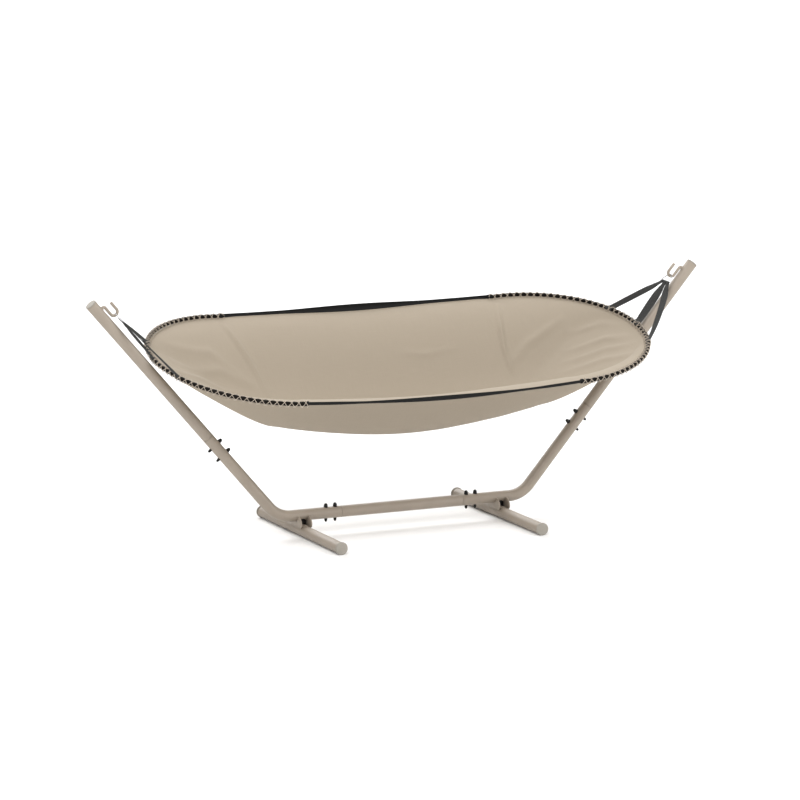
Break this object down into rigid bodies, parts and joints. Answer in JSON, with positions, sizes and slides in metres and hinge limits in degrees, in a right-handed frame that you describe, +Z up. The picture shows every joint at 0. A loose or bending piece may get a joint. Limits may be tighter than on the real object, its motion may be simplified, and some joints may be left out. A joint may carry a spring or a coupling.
{
  "type": "hammock with stand",
  "caption": "Laced fabric hammock bed with curved end tubes, hung by straps and rings from the hooks of a bolted steel-tube stand on two cross feet.",
  "frame": {"origin": "on the floor, under the middle of the stand", "axes": "+X along the hammock from the left arm to the right, +Y from the front side to the back, +Z up"},
  "size_m": [3.3406, 1.1335, 1.2573],
  "materials": {
    "powder_coat": "satin taupe powder coat on steel tube",
    "end_cap_plastic": "matt plastic in the colour of the tubes",
    "black_plastic": "half-gloss black plastic",
    "zinc_steel": "zinc-plated steel",
    "bright_steel": "bright plated steel wire",
    "black_tube": "black painted steel tube",
    "hammock_cloth": "plain-woven beige cloth, slightly creased",
    "lacing_cord": "twisted beige cord",
    "black_webbing": "flat-woven black webbing",
    "grey_webbing": "flat-woven dark grey webbing"
  },
  "bodies": {
    "stand": {"centre_tube": "powder_coat", "left_elbow_tube": "powder_coat", "right_elbow_tube": "powder_coat", "left_arm_tube": "powder_coat", "right_arm_tube": "powder_coat", "left_hook": "powder_coat", "right_hook": "powder_coat", "left_arm_end_cap": "end_cap_plastic", "right_arm_end_cap": "end_cap_plastic", "left_foot_tube": "powder_coat", "right_foot_tube": "powder_coat", "left_foot_saddle": "powder_coat", "right_foot_saddle": "powder_coat", "left_foot_spacer": "black_plastic", "right_foot_spacer": "black_plastic", "left_foot_bolt": "zinc_steel", "right_foot_bolt": "zinc_steel", "left_front_foot_cap": "end_cap_plastic", "left_back_foot_cap": "end_cap_plastic", "right_front_foot_cap": "end_cap_plastic", "right_back_foot_cap": "end_cap_plastic", "left_arm_upper_bolt": "zinc_steel", "left_arm_lower_bolt": "zinc_steel", "left_spine_inner_bolt": "zinc_steel", "left_spine_outer_bolt": "zinc_steel", "right_arm_upper_bolt": "zinc_steel", "right_arm_lower_bolt": "zinc_steel", "right_spine_inner_bolt": "zinc_steel", "right_spine_outer_bolt": "zinc_steel", "left_arm_upper_bolt_cover": "black_plastic", "left_arm_lower_bolt_cover": "black_plastic", "left_spine_inner_bolt_cover": "black_plastic", "left_spine_outer_bolt_cover": "black_plastic", "right_arm_upper_bolt_cover": "black_plastic", "right_arm_lower_bolt_cover": "black_plastic", "right_spine_inner_bolt_cover": "black_plastic", "right_spine_outer_bolt_cover": "black_plastic", "left_arm_upper_cap_nut": "black_plastic", "left_arm_lower_cap_nut": "black_plastic", "left_spine_inner_cap_nut": "black_plastic", "left_spine_outer_cap_nut": "black_plastic", "right_arm_upper_cap_nut": "black_plastic", "right_arm_lower_cap_nut": "black_plastic", "right_spine_inner_cap_nut": "black_plastic", "right_spine_outer_cap_nut": "black_plastic"},
    "hammock": {"hammock_cloth": "hammock_cloth", "front_side_band": "black_webbing", "back_side_band": "black_webbing", "left_end_bow": "black_tube", "right_end_bow": "black_tube", "left_lacing": "lacing_cord", "right_lacing": "lacing_cord", "left_ring": "bright_steel", "right_ring": "bright_steel", "left_front_strap": "grey_webbing", "left_middle_strap": "grey_webbing", "left_back_strap": "grey_webbing", "right_front_strap": "grey_webbing", "right_middle_strap": "grey_webbing", "right_back_strap": "grey_webbing"}
  },
  "joints": [
    {"name": "swing", "type": "hinge", "parent": "stand", "child": "hammock", "pos_m": [0, 0, 1.18007], "axis": [1, 0, 0], "range_deg": [-45, 8]}
  ]
}
